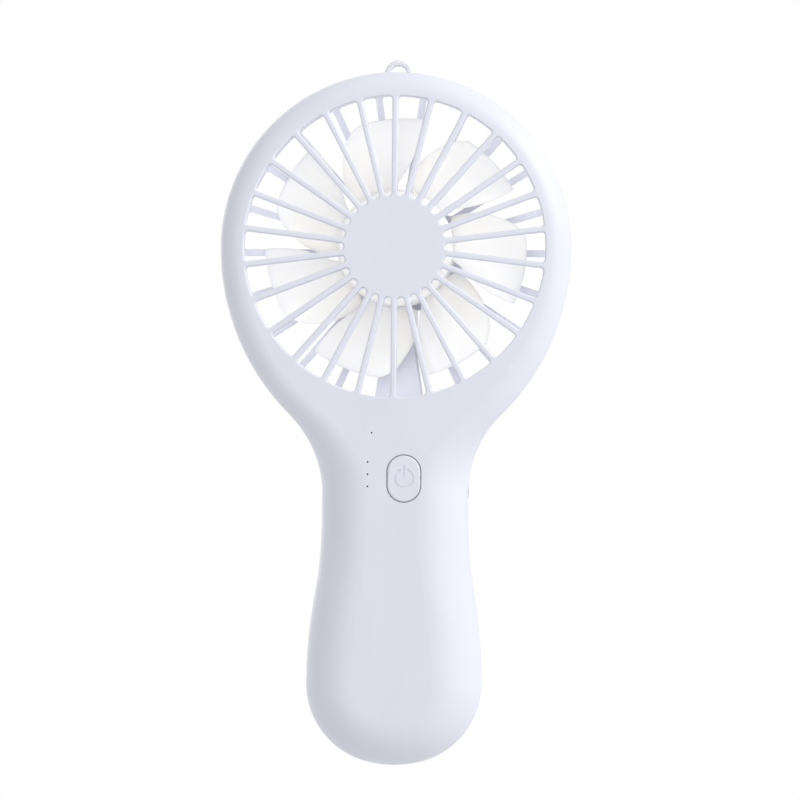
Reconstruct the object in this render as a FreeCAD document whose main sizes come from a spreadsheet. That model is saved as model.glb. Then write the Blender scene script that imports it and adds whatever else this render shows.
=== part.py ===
"""Handheld electric fan: a round caged head on a waisted grip, built as separate pieces.

Row frame: +Z up, the front grille faces -Y, +X is to the right of someone looking at the
front.  The origin is the middle of the hand grip, on the plane where the two shells part.
Every piece is drawn about the fan's spin axis and lifted by the sheet's axis_height.
"Drop" means distance below the spin axis.  Millimetres and degrees throughout.
"""
import FreeCAD, Part
import math
import os
import Sketcher

Vec = FreeCAD.Vector
PARTS_DIR = "parts"

# ======================================================================================
# Driving dimensions
# ======================================================================================
DIMENSIONS = {
    # outline of the body, seen from the front
    "axis_height": 100.0,         # spin axis above the middle of the grip
    "head_radius": 49.3,
    "neck_radius": 30.7,          # hollow curve under each cheek of the head
    "waist_drop": 68.5,           # top of the straight waist
    "waist_end_drop": 77.0,
    "waist_half": 20.75,
    "swell_curve": 117.0,         # hollow curve from the waist out to the swell
    "swell_drop": 123.0,
    "swell_half": 24.85,
    "heel_radius": 22.7,
    "base_drop": 146.0,
    # depth of the body
    "half_depth": 17.0,           # parting plane to the head's front and back faces
    "grip_back": 14.5,            # parting plane to the grip's back face
    "back_curve": 60.0,           # the two curves that ease the back in from head to grip
    "back_curve_drop": 50.0,
    "wall": 1.8,
    "face_wall": 2.0,
    "head_round_front": 6.7,      # edge rounding round the head
    "head_round_back": 2.6,
    "grip_round_front": 13.5,     # edge rounding round the grip
    "grip_round_back": 12.5,
    "seam_bevel": 0.25,
    # tongue of the rear shell inside the front shell's edge
    "lip_offset": 1.05,
    "lip_height": 1.5,
    "lip_gap": 0.1,
    # air duct and grilles
    "grille_radius": 42.0,
    "rear_grille_radius": 45.9,
    "duct_radius": 47.6,
    "duct_wall": 1.3,
    "duct_round": 5.0,
    "neck_space_drop": 35.0,      # top of the space inside the neck
    "slot_corner": 0.9,
    "edge_round": 0.5,
    "spoke_count": 26.0,
    "spoke_width": 1.6,
    "disc_radius": 14.2,
    "disc_web": 2.2,
    "spoke_depth_hub": 3.2,
    "spoke_depth_rim": 2.4,
    "rib_count": 22.0,
    "rib_width": 1.9,
    "rib_depth": 2.6,
    "boss_radius": 17.4,
    # motor cup of the rear shell and its wire channel
    "cup_front": 0.5,
    "cup_wall": 1.5,
    "fit_gap": 0.05,
    "channel_wall": 1.2,
    "channel_front": 11.0,
    "cover_web": 1.0,
    # case screws and their pillars
    "upper_screw_side": 17.0,
    "upper_screw_drop": 50.0,
    "lower_screw_side": 15.2,
    "lower_screw_drop": 118.0,
    "pillar_radius": 2.6,
    "pillar_hole": 0.95,
    "tower_radius": 3.4,
    "counterbore": 2.4,
    "screw_seat": 3.5,
    "screw_hole": 1.25,
    "screw_head": 2.1,
    "screw_head_height": 1.4,
    "screw_shank": 0.9,
    "screw_length": 8.0,
    # motor
    "can_radius": 12.2,
    "can_wall": 0.8,
    "can_front": -5.4,
    "can_back": 10.6,
    "cap_back": 12.4,
    "bush_radius": 2.8,
    "shaft_radius": 1.0,
    "shaft_gap": 0.03,
    "magnet_inner": 9.0,
    "core_radius": 8.4,
    "commutator_radius": 2.6,
    # impeller
    "blade_count": 7.0,
    "blade_tip": 36.8,
    "blade_web": 1.1,
    "hub_radius": 16.4,
    "hub_inner": 14.9,
    "hub_front": -11.4,
    "hub_back": 1.5,
    # power button and switch
    "button_side": 3.15,
    "button_drop": 64.55,
    "button_half_width": 4.6,
    "button_half_height": 6.45,
    "button_gap": 0.3,
    "button_front": -17.1,
    "button_flange": 1.1,
    "board_front": -10.4,
    "board_web": 1.0,
    "board_half_width": 10.5,
    "board_top_drop": 50.5,
    "board_base_drop": 86.0,
    # charging port, centred on the parting plane
    "pinhole_radius": 0.25,
    "port_drop": 68.5,
    "port_half_width": 4.47,
    "port_half_height": 1.63,
    # cell
    "cell_radius": 9.1,
    "cell_back": 0.4,             # cell axis behind the parting plane
    "cell_top_drop": 74.5,
    "cell_length": 65.0,
    "wire_radius": 0.5,
    # lanyard loop
    "loop_outer": 4.0,
    "loop_inner": 2.25,
    "loop_web": 2.0,
    "loop_drop": -50.2,
}


class Term:
    """A number together with the spreadsheet expression that gives it."""

    def __init__(self, value, text=None):
        self.value = float(value)
        self.text = text if text else repr(float(value))

    def join(self, other, sign, value):
        return Term(value, f"({self.text} {sign} {other.text})")

    def __add__(self, other):
        other = term(other)
        return self.join(other, "+", self.value + other.value)

    def __sub__(self, other):
        other = term(other)
        return self.join(other, "-", self.value - other.value)

    def __mul__(self, other):
        other = term(other)
        return self.join(other, "*", self.value * other.value)

    def __truediv__(self, other):
        other = term(other)
        return self.join(other, "/", self.value / other.value)

    def __radd__(self, other):
        return term(other) + self

    def __rsub__(self, other):
        return term(other) - self

    def __rmul__(self, other):
        return term(other) * self

    def __rtruediv__(self, other):
        return term(other) / self

    def __neg__(self):
        return Term(-self.value, f"(-{self.text})")

    def __float__(self):
        return self.value


def term(value):
    return value if isinstance(value, Term) else Term(value)


def sin_degrees(angle):
    angle = term(angle)
    return Term(math.sin(math.radians(angle.value)), f"sin({angle.text} * 1 deg)")


doc = FreeCAD.newDocument("handheld_fan")


def make_sheet():
    sheet = doc.addObject("Spreadsheet::Sheet", "dimensions")
    sheet.Label = "dimensions"
    for row, (alias, value) in enumerate(DIMENSIONS.items(), start=1):
        sheet.set(f"A{row}", alias)
        sheet.set(f"B{row}", str(value))
        sheet.setAlias(f"B{row}", alias)
    doc.recompute()
    return sheet


class Cells:
    """Reads the sheet: cells.wall is the wall's Term."""

    def __init__(self, sheet):
        self.sheet = sheet

    def __getattr__(self, alias):
        return Term(getattr(self.sheet, alias), f"dimensions.{alias}")


d = Cells(make_sheet())


def bind(obj, prop, value):
    obj.setExpression(prop, term(value).text)


# ======================================================================================
# Building blocks
# ======================================================================================
TO_BACK = FreeCAD.Rotation(Vec(1, 0, 0), -90)      # turns a primitive's +Z to +Y
TO_RIGHT = FreeCAD.Rotation(Vec(0, 1, 0), 90)      # turns a primitive's +Z to +X
UPRIGHT = FreeCAD.Rotation()


def place(obj, x=0, y=0, z=0, rotation=UPRIGHT):
    """Put an object at x, y and a height z above the spin axis."""
    obj.Placement = FreeCAD.Placement(Vec(), rotation)
    bind(obj, "Placement.Base.x", x)
    bind(obj, "Placement.Base.y", y)
    bind(obj, "Placement.Base.z", d.axis_height + z)


def part_object(kind, name):
    obj = doc.addObject(kind, name)
    obj.Label = name
    return obj


def cylinder(name, radius, length, x=0, y=0, z=0, rotation=TO_BACK):
    obj = part_object("Part::Cylinder", name)
    bind(obj, "Radius", radius)
    bind(obj, "Height", length)
    place(obj, x, y, z, rotation)
    return obj


def block(name, low, high):
    """Box between two corners, in the frame of the spin axis."""
    low = [term(v) for v in low]
    high = [term(v) for v in high]
    obj = part_object("Part::Box", name)
    for prop, a, b in zip(("Length", "Width", "Height"), low, high):
        bind(obj, prop, b - a)
    place(obj, *low)
    return obj


def cut(name, base, tool):
    obj = part_object("Part::Cut", name)
    obj.Base = base
    obj.Tool = tool
    return obj


def fuse(name, shapes):
    obj = part_object("Part::MultiFuse", name)
    obj.Shapes = shapes
    return obj


def cut_all(name, base, tools):
    return cut(name, base, fuse(name + "_tools", tools))


def feature(name, shape):
    """Piece whose shape is worked out here; its Placement lifts it to the spin axis."""
    obj = part_object("Part::Feature", name)
    obj.Shape = shape
    obj.Placement = FreeCAD.Placement(Vec(0, 0, float(d.axis_height)), UPRIGHT)
    return obj


def origin_part(body, role):
    return next(f for f in body.Origin.OriginFeatures if f.Role == role)


def new_body(name):
    body = part_object("PartDesign::Body", name)
    place(body)
    return body


def new_sketch(body, name, role="XZ_Plane"):
    sketch = body.newObject("Sketcher::SketchObject", name)
    sketch.AttachmentSupport = [(origin_part(body, role), "")]
    sketch.MapMode = "FlatFace"
    return sketch


def constrain(sketch, *args):
    return sketch.addConstraint(Sketcher.Constraint(*args))


def drive(sketch, kind, *args):
    """Add a dimension whose last argument is the Term that drives it."""
    value = term(args[-1])
    index = constrain(sketch, kind, *args[:-1], value.value)
    bind(sketch, f"Constraints[{index}]", value)


def drive_point(sketch, geometry, end, x, y):
    """Fix a sketch point at x, y; a dimension has to be positive, so its ends may swap."""
    for kind, axis, value in (("DistanceX", -2, term(x)), ("DistanceY", -1, term(y))):
        if value.value == 0:
            constrain(sketch, "PointOnObject", geometry, end, axis)
        elif value.value > 0:
            drive(sketch, kind, -1, 1, geometry, end, value)
        else:
            drive(sketch, kind, geometry, end, -1, 1, -value)


def line(x0, y0, x1, y1):
    return Part.LineSegment(Vec(float(x0), float(y0), 0), Vec(float(x1), float(y1), 0))


def arc(x, y, radius, start, end):
    """Arc about x, y, counter-clockwise from start to end, in radians."""
    circle = Part.Circle(Vec(float(x), float(y), 0), Vec(0, 0, 1), float(radius))
    return Part.ArcOfCircle(circle, start, end)


def polygon(sketch, points):
    """Closed polygon whose every corner is bound to the sheet."""
    count = len(points)
    for i, (x, y) in enumerate(points):
        nx, ny = points[(i + 1) % count]
        sketch.addGeometry(line(x, y, nx, ny))
    for i, (x, y) in enumerate(points):
        constrain(sketch, "Coincident", (i - 1) % count, 2, i, 1)
        drive_point(sketch, i, 1, x, y)


def revolved(name, points):
    """Body turned about the spin axis from corners given as (radius, y)."""
    body = new_body(name)
    sketch = new_sketch(body, name + "_profile", "XY_Plane")
    polygon(sketch, points)
    turn = body.newObject("PartDesign::Revolution", name + "_turn")
    turn.Profile = sketch
    turn.ReferenceAxis = (sketch, ["V_Axis"])
    turn.Angle = 360
    return body


def ring(name, outer, inner, front, back):
    return revolved(name, [(inner, front), (outer, front), (outer, back), (inner, back)])


def stadium(name, half_width, half_height, front, back, x, z, corner=None):
    """Upright rounded-end block between two depths; the ends are full half circles."""
    body = part_object("PartDesign::Body", name)
    place(body, x, back, z)
    sketch = new_sketch(body, name + "_profile")
    rise = term(half_height) - half_width
    radius = float(half_width)
    top, base = float(rise), -float(rise)
    right = sketch.addGeometry(line(radius, base, radius, top))
    upper = sketch.addGeometry(arc(0, top, radius, 0, math.pi))
    left = sketch.addGeometry(line(-radius, top, -radius, base))
    lower = sketch.addGeometry(arc(0, base, radius, math.pi, 2 * math.pi))
    constrain(sketch, "Tangent", right, 2, upper, 1)
    constrain(sketch, "Tangent", upper, 2, left, 1)
    constrain(sketch, "Tangent", left, 2, lower, 1)
    constrain(sketch, "Tangent", lower, 2, right, 1)
    constrain(sketch, "Vertical", right)
    drive(sketch, "Radius", upper, half_width)
    drive_point(sketch, upper, 3, 0, rise)
    drive_point(sketch, lower, 3, 0, -rise)
    pad = body.newObject("PartDesign::Pad", name + "_pad")
    pad.Profile = sketch
    bind(pad, "Length", term(back) - front)
    if corner:
        doc.recompute()
        reach = float(front) - float(back)
        rim = [f"Edge{i}" for i, edge in enumerate(pad.Shape.Edges, 1)
               if edge.BoundBox.YMax < reach + 1e-6]
        rounding = body.newObject("PartDesign::Fillet", name + "_round")
        rounding.Base = (pad, rim)
        bind(rounding, "Radius", corner)
    return body


# ======================================================================================
# Outline of the body
# ======================================================================================
def cheek_join_drop(offset):
    """Drop of the point where cheek and neck curves meet, on an outline offset inward."""
    head = d.head_radius.value
    reach = d.waist_half.value + d.neck_radius.value
    run = d.neck_radius.value + head
    cheek_x = (run ** 2 - reach ** 2 - d.waist_drop.value ** 2) / (2 * (reach - run))
    turn = math.atan2(d.waist_drop.value, reach + cheek_x)
    return (head + cheek_x - float(offset)) * math.sin(turn)


def outline_sketch(body, name, offset):
    """Right half of the body's outline, offset inward, closed along the centreline.

    Head arc, cheek, neck hollow, waist, swell hollow, swell, heel and base run on from
    each other tangentially; the radii of cheek, swell and base follow from that.
    """
    sketch = new_sketch(body, name)
    offset = term(offset)
    head_size = d.head_radius - offset
    neck_size = d.neck_radius + offset
    hollow_size = d.swell_curve + offset
    heel_size = d.heel_radius - offset
    waist_side = d.waist_half - offset
    swell_side = d.swell_half - offset
    base_depth = d.base_drop - offset

    head, neck, hollow, heel = (float(v) for v in (head_size, neck_size, hollow_size, heel_size))
    waist_x, swell_x, base_z = float(waist_side), float(swell_side), -float(base_depth)
    waist_z, waist_end = -float(d.waist_drop), -float(d.waist_end_drop)
    swell_z = -float(d.swell_drop)

    neck_x = waist_x + neck
    run = neck + head
    cheek_x = (run ** 2 - neck_x ** 2 - waist_z ** 2) / (2 * (neck_x - run))
    cheek_turn = math.atan2(-waist_z, neck_x + cheek_x)
    swell_turn = 2 * math.atan2(swell_x - waist_x, waist_end - swell_z)
    swell = (waist_end - swell_z) / math.sin(swell_turn) - hollow
    heel_x = swell_x - heel
    rise = swell_z - base_z
    base = (heel_x ** 2 + rise ** 2 - heel ** 2) / (2 * (rise - heel))
    base_turn = math.atan2(rise - base, heel_x)

    add = sketch.addGeometry
    centre = add(line(0, base_z, 0, head))
    head_arc = add(arc(0, 0, head, 0, math.pi / 2))
    cheek_arc = add(arc(-cheek_x, 0, head + cheek_x, -cheek_turn, 0))
    neck_arc = add(arc(neck_x, waist_z, neck, math.pi - cheek_turn, math.pi))
    waist = add(line(waist_x, waist_z, waist_x, waist_end))
    hollow_arc = add(arc(waist_x + hollow, waist_end, hollow, math.pi, math.pi + swell_turn))
    swell_arc = add(arc(swell_x - swell, swell_z, swell, 0, swell_turn))
    heel_arc = add(arc(heel_x, swell_z, heel, base_turn, 0))
    base_arc = add(arc(0, base_z + base, base, -math.pi / 2, base_turn))

    joins = ((head_arc, 1, cheek_arc, 2), (cheek_arc, 1, neck_arc, 1), (neck_arc, 2, waist, 1),
             (waist, 2, hollow_arc, 1), (hollow_arc, 2, swell_arc, 2),
             (swell_arc, 1, heel_arc, 2), (heel_arc, 1, base_arc, 2))
    for join in joins:
        constrain(sketch, "Tangent", *join)
    constrain(sketch, "Coincident", head_arc, 2, centre, 2)
    constrain(sketch, "Coincident", base_arc, 1, centre, 1)
    constrain(sketch, "PointOnObject", centre, 1, -2)
    constrain(sketch, "PointOnObject", centre, 2, -2)
    constrain(sketch, "Coincident", head_arc, 3, -1, 1)
    constrain(sketch, "PointOnObject", base_arc, 3, -2)
    constrain(sketch, "PointOnObject", cheek_arc, 3, -1)
    constrain(sketch, "Horizontal", swell_arc, 3, heel_arc, 3)
    constrain(sketch, "Vertical", waist)
    drive(sketch, "Radius", head_arc, head_size)
    drive(sketch, "Radius", neck_arc, neck_size)
    drive(sketch, "Radius", hollow_arc, hollow_size)
    drive(sketch, "Radius", heel_arc, heel_size)
    drive(sketch, "DistanceY", neck_arc, 3, -1, 1, d.waist_drop)
    drive(sketch, "DistanceY", waist, 2, -1, 1, d.waist_end_drop)
    drive(sketch, "DistanceX", -1, 1, waist, 1, waist_side)
    drive(sketch, "DistanceY", swell_arc, 3, -1, 1, d.swell_drop)
    drive(sketch, "DistanceX", -1, 1, swell_arc, 1, swell_side)
    drive(sketch, "DistanceY", centre, 1, -1, 1, base_depth)
    return sketch


def outline_block(name, offset, depth, forward):
    """Prism of the whole outline from the parting plane, one half mirrored to the other."""
    body = new_body(name)
    pad = body.newObject("PartDesign::Pad", name + "_pad")
    pad.Profile = outline_sketch(body, name + "_outline", offset)
    bind(pad, "Length", depth)
    pad.Reversed = not forward
    mirror = body.newObject("PartDesign::Mirrored", name + "_mirror")
    mirror.Originals = [pad]
    mirror.MirrorPlane = (origin_part(body, "YZ_Plane"), [""])
    mirror.Refine = True
    body.Tip = mirror
    return body


def back_trim(name, head_back, grip_back):
    """Block behind the back's profile: straight at the head, easing forward to the grip."""
    body = new_body(name)
    place(body, -d.head_radius - 5)
    sketch = new_sketch(body, name + "_profile", "YZ_Plane")
    head_y, grip_y, curve = float(head_back), float(grip_back), float(d.back_curve)
    turn = math.acos(1 - (head_y - grip_y) / (2 * curve))
    start_z = -float(d.back_curve_drop)
    end_z = start_z - 2 * curve * math.sin(turn)
    far_y, low_z = head_y + 5, -float(d.base_drop) - 5
    add = sketch.addGeometry
    upper = add(arc(head_y - curve, start_z, curve, -turn, 0))
    lower = add(arc(grip_y + curve, end_z, curve, math.pi - turn, math.pi))
    inside = add(line(grip_y, end_z, grip_y, low_z))
    floor = add(line(grip_y, low_z, far_y, low_z))
    outside = add(line(far_y, low_z, far_y, start_z))
    top = add(line(far_y, start_z, head_y, start_z))
    constrain(sketch, "Tangent", upper, 1, lower, 1)
    constrain(sketch, "Tangent", lower, 2, inside, 1)
    constrain(sketch, "Coincident", inside, 2, floor, 1)
    constrain(sketch, "Coincident", floor, 2, outside, 1)
    constrain(sketch, "Coincident", outside, 2, top, 1)
    constrain(sketch, "Perpendicular", top, 2, upper, 2)
    for edge in (floor, top):
        constrain(sketch, "Horizontal", edge)
    for edge in (inside, outside):
        constrain(sketch, "Vertical", edge)
    drive(sketch, "Radius", upper, d.back_curve)
    drive(sketch, "Radius", lower, d.back_curve)
    drive_point(sketch, top, 2, head_back, -d.back_curve_drop)
    drive(sketch, "DistanceX", -1, 1, inside, 1, grip_back)
    drive_point(sketch, outside, 1, term(head_back) + 5, -(d.base_drop + 5))
    pad = body.newObject("PartDesign::Pad", name + "_pad")
    pad.Profile = sketch
    bind(pad, "Length", 2 * (d.head_radius + 5))
    return body


def is_side_wall(face):
    low_u, high_u, low_v, high_v = face.ParameterRange
    return abs(face.normalAt((low_u + high_u) / 2, (low_v + high_v) / 2).y) < 1e-4


def rim_edges(shape, forward):
    """Numbered edges between the side walls and the front (or back) face, in chain order.

    Each entry is (number, start point, end point), running on from the first edge.
    """
    sign = -1 if forward else 1
    found = {}
    for number, edge in enumerate(shape.Edges, start=1):
        sides = [is_side_wall(face) for face in shape.ancestorsOfType(edge, Part.Face)]
        if len(sides) == 2 and sides[0] != sides[1] and sign * edge.CenterOfMass.y > 5:
            found[number] = (edge.firstVertex().Point, edge.lastVertex().Point)
    number = min(found)
    start, end = found.pop(number)
    chain = [(number, start, end)]
    while found:
        number = next(n for n, ends in found.items()
                      if min(end.distanceToPoint(p) for p in ends) < 1e-4)
        start, stop = found.pop(number)
        if stop.distanceToPoint(end) < 1e-4:
            start, stop = stop, start
        chain.append((number, start, stop))
        end = stop
    return chain


def rounded_rim(name, base, offset, forward):
    """Rounding of the face's rim: tight round the head, growing down the neck to the grip."""
    doc.recompute()
    offset = float(offset)
    grip = float(d.grip_round_front if forward else d.grip_round_back)
    head = float(d.head_round_front if forward else d.head_round_back)
    neck_start = cheek_join_drop(offset) + 0.01
    neck_length = float(d.waist_drop) - neck_start

    def radius_at(point):
        drop = float(d.axis_height) - point.z
        share = min(max((drop - neck_start) / neck_length, 0), 1)
        return head + share * (grip - head) - offset

    obj = part_object("Part::Fillet", name)
    obj.Base = base
    obj.Edges = [(number, radius_at(start), radius_at(end))
                 for number, start, end in rim_edges(base.Shape, forward)]
    return obj


# ======================================================================================
# Grille slots
# ======================================================================================
def slot_cutter(name, count, width, inner, rim_radius, forward, skip=0):
    """Wedge slots between straight radial bars, round at the hub end.

    skip leaves that many slots out, centred on the bottom of the circle.
    """
    body = new_body(name)
    sketch = new_sketch(body, name + "_slot")
    half_pitch = 180 / term(count)
    half_bar = term(width) / 2
    sine = sin_degrees(half_pitch)
    hub_round = (term(inner) - half_bar) / (1 - sine) * sine - half_bar

    turn = math.radians(half_pitch.value)
    along = Vec(math.sin(turn), math.cos(turn), 0)
    inward = Vec(-math.cos(turn), math.sin(turn), 0)
    outer, bar, corner = float(rim_radius), float(half_bar), float(d.slot_corner)
    nose = float(hub_round)
    nose_z = float(inner) + nose
    corner_run = math.sqrt((outer - corner) ** 2 - (bar + corner) ** 2)
    corner_mid = along * corner_run + inward * (bar + corner)
    side_low = Vec(0, nose_z, 0) - inward * nose
    side_high = along * corner_run + inward * bar
    lean = math.atan2(corner_mid.y, corner_mid.x)

    add = sketch.addGeometry
    rim = add(arc(0, 0, outer, lean, math.pi - lean))
    right_corner = add(arc(corner_mid.x, corner_mid.y, corner, -turn, lean))
    right = add(line(side_low.x, side_low.y, side_high.x, side_high.y))
    tip = add(arc(0, nose_z, nose, math.pi + turn, 2 * math.pi - turn))
    left = add(line(-side_high.x, side_high.y, -side_low.x, side_low.y))
    left_corner = add(arc(-corner_mid.x, corner_mid.y, corner, math.pi - lean, math.pi + turn))
    for join in ((rim, 1, right_corner, 2), (right_corner, 1, right, 2), (right, 1, tip, 2),
                 (tip, 1, left, 2), (left, 1, left_corner, 2), (left_corner, 1, rim, 2)):
        constrain(sketch, "Tangent", *join)
    constrain(sketch, "Coincident", rim, 3, -1, 1)
    drive(sketch, "Radius", rim, rim_radius)
    drive(sketch, "Radius", right_corner, d.slot_corner)
    drive(sketch, "Radius", left_corner, d.slot_corner)
    drive(sketch, "Radius", tip, hub_round)
    for side in (right, left):
        drive(sketch, "Distance", -1, 1, side, half_bar)
    constrain(sketch, "PointOnObject", tip, 3, -2)
    lean_index = constrain(sketch, "Angle", right, math.pi / 2 - turn)
    bind(sketch, f"Constraints[{lean_index}]", 90 - half_pitch)

    pad = body.newObject("PartDesign::Pad", name + "_pad")
    pad.Profile = sketch
    pad.Reversed = not forward
    bind(pad, "Length", d.half_depth + 1)
    pattern = body.newObject("PartDesign::PolarPattern", name + "_pattern")
    pattern.Originals = [pad]
    pattern.Axis = (origin_part(body, "Y_Axis"), [""])
    made = term(count) - skip
    bind(pattern, "Occurrences", made)
    bind(pattern, "Angle", 360 if skip == 0 else 2 * half_pitch * (made - 1))
    body.Tip = pattern
    first = half_pitch.value if skip == 0 else 180 + 2 * half_pitch.value
    body.Placement = FreeCAD.Placement(Vec(), FreeCAD.Rotation(Vec(0, 1, 0), first))
    return body


def rounded_slots(name, base, face_y, rim_radius):
    """Small rounding on the outer edges of every slot in the face at face_y."""
    doc.recompute()
    reach = float(rim_radius) + 0.2
    chosen = []
    for number, edge in enumerate(base.Shape.Edges, start=1):
        box = edge.BoundBox
        middle = edge.CenterOfMass
        spread = math.hypot(middle.x, middle.z - float(d.axis_height))
        flat = abs(box.YMin - face_y) < 1e-5 and abs(box.YMax - face_y) < 1e-5
        if flat and float(d.disc_radius) - 0.5 < spread < reach:
            chosen.append((number, float(d.edge_round), float(d.edge_round)))
    obj = part_object("Part::Fillet", name)
    obj.Base = base
    obj.Edges = chosen
    return obj


# ======================================================================================
# Shells
# ======================================================================================
SCREWS = [(side * across, drop)
          for across, drop in ((d.upper_screw_side, d.upper_screw_drop),
                               (d.lower_screw_side, d.lower_screw_drop))
          for side in (1, -1)]
LEDS = ((-7.0, -60.0), (-7.0, -63.4), (-7.0, -66.8), (-5.9, -51.9))
BOARD_POSTS = ((8.0, -53.5), (-7.5, -82.5))
CRADLE_DROPS = (95.0, 130.0)
CRADLE_WEB = 1.2


def lip_ring(name, clearance, height, forward):
    """Ring between the lip's outer face and the shell's inner face."""
    outer = outline_block(name + "_outer", d.lip_offset - clearance, height, forward)
    inner = outline_block(name + "_inner", d.wall, height, forward)
    return cut(name, outer, inner)


def port_bar(name, growth, x, length):
    """Round-ended bar along X of the charging port's section, grown by a margin all round."""
    half_width = d.port_half_width + growth
    half_height = d.port_half_height + growth
    z = -d.port_drop
    straight = half_width - half_height
    middle = block(name + "_middle", (x, -straight, z - half_height),
                   (term(x) + length, straight, z + half_height))
    ends = [cylinder(f"{name}_end{i}", half_height, length, x, side * straight, z, TO_RIGHT)
            for i, side in enumerate((1, -1))]
    return fuse(name, [middle] + ends)


def port_opening(name):
    """Hole for the charging plug, through the right-hand wall across the parting plane."""
    return port_bar(name, 0.2, d.waist_half - 5, 8.0)


def cradle_ribs(name, front, back):
    """Ribs with a round seat that hold the cell, one near each end of it."""
    reach = d.swell_half
    blanks = [block(f"{name}_{i}", (-reach, front, -drop - CRADLE_WEB / 2),
                    (reach, back, -drop + CRADLE_WEB / 2))
              for i, drop in enumerate(CRADLE_DROPS)]
    seat = cylinder(name + "_seat", d.cell_radius + 0.15, d.cell_length + 20, 0, d.cell_back,
                    -d.cell_top_drop - d.cell_length - 10, UPRIGHT)
    return cut(name, fuse(name + "_blanks", blanks), seat)


def front_duct_space():
    """Air space behind the front grille; the spokes thicken from the rim to the hub."""
    face = -d.half_depth
    outer = d.disc_radius - 0.3
    space = revolved("front_duct_turned", [
        (0, 0), (d.duct_radius, 0), (d.duct_radius, face + d.spoke_depth_rim),
        (outer, face + d.spoke_depth_hub), (outer - 1.0, face + d.spoke_depth_hub),
        (outer - 1.0, face + d.disc_web), (0, face + d.disc_web)])
    doc.recompute()
    corner_y = float(face + d.spoke_depth_rim)
    obj = part_object("Part::Fillet", "front_duct_space")
    obj.Base = space
    obj.Edges = [(number, float(d.duct_round), float(d.duct_round))
                 for number, edge in enumerate(space.Shape.Edges, start=1)
                 if abs(edge.BoundBox.YMin - corner_y) < 1e-5
                 and abs(edge.BoundBox.YMax - corner_y) < 1e-5]
    return obj


def duct_cores(name, near, far):
    """Solid left round the duct: its own wall at the neck, and all of the head above that."""
    side = d.head_radius + 5
    return [cylinder(name + "_core", d.duct_radius + d.duct_wall, far - near, 0, near, 0),
            block(name + "_cheeks", (-side, near, -d.neck_space_drop), (side, far, side))]


def front_shell():
    face = -d.half_depth
    skin = rounded_rim("front_skin", outline_block("front_blank", 0, d.half_depth, True), 0, True)
    hollow = rounded_rim("front_hollow",
                         outline_block("front_hollow_blank", d.wall, d.half_depth - d.face_wall,
                                       True), d.wall, True)
    cores = duct_cores("front_duct", face, 0)
    for i, (x, drop) in enumerate(SCREWS):
        cores.append(cylinder(f"pillar{i}", d.pillar_radius, d.half_depth, x, face, -drop))
    for i, (x, z) in enumerate(BOARD_POSTS):
        cores.append(cylinder(f"board_post{i}", 2.0, d.board_front - face, x, face, z))
    cores.append(cradle_ribs("front_cradle", face, -2.0))
    space = cut_all("front_space", hollow, cores)
    tools = [space, front_duct_space(),
             slot_cutter("front_slots", d.spoke_count, d.spoke_width, d.disc_radius,
                         d.grille_radius, True),
             stadium("button_hole", d.button_half_width + d.button_gap,
                     d.button_half_height + d.button_gap, face - 1, face + 4, d.button_side,
                     -d.button_drop),
             port_opening("front_port"), lip_ring("front_rebate", d.lip_gap,
                                                  d.lip_height + d.lip_gap, True)]
    for i, (x, z) in enumerate(LEDS):
        tools.append(cylinder(f"pinhole{i}", d.pinhole_radius, 4, x, face - 1, z))
    for i, (x, drop) in enumerate(SCREWS):
        tools.append(cylinder(f"pillar_hole{i}", d.pillar_hole, 9, x, -9, -drop))
    for i, (x, z) in enumerate(BOARD_POSTS):
        tools.append(cylinder(f"post_hole{i}", 0.7, 4, x, d.board_front - 4, z))
    hollowed = cut_all("front_hollowed", seam_bevel("front_bevelled", skin), tools)
    return rounded_slots("front_shell", hollowed, face.value, d.grille_radius)


def channel_walls():
    """Two walls along the bottom ribs of the rear grille, each side of the motor's wires."""
    walls = []
    lean = 180 / float(d.rib_count)
    for side in (1, -1):
        wall = part_object("Part::Box", f"channel_wall{side}")
        length = d.duct_radius + 0.5 - d.boss_radius + 2
        bind(wall, "Length", d.channel_wall)
        bind(wall, "Width", d.half_depth - d.channel_front)
        bind(wall, "Height", length)
        turn = FreeCAD.Rotation(Vec(0, 1, 0), 180 + side * lean)
        start = turn.multVec(Vec(-float(d.channel_wall) / 2, 0, float(d.boss_radius) - 2))
        place(wall, start.x, d.half_depth, start.z, turn)
        walls.append(wall)
    return walls


def rear_duct_space():
    """Air space in front of the rear grille, round the motor's cup."""
    floor = d.half_depth - d.rib_depth
    cup_inner = d.can_radius + d.fit_gap
    cup_outer = cup_inner + d.cup_wall
    return revolved("rear_duct_space", [
        (0, 0), (d.duct_radius, 0), (d.duct_radius, floor), (cup_outer, floor),
        (cup_outer, d.cup_front), (cup_inner, d.cup_front), (cup_inner, floor), (0, floor)])


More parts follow.
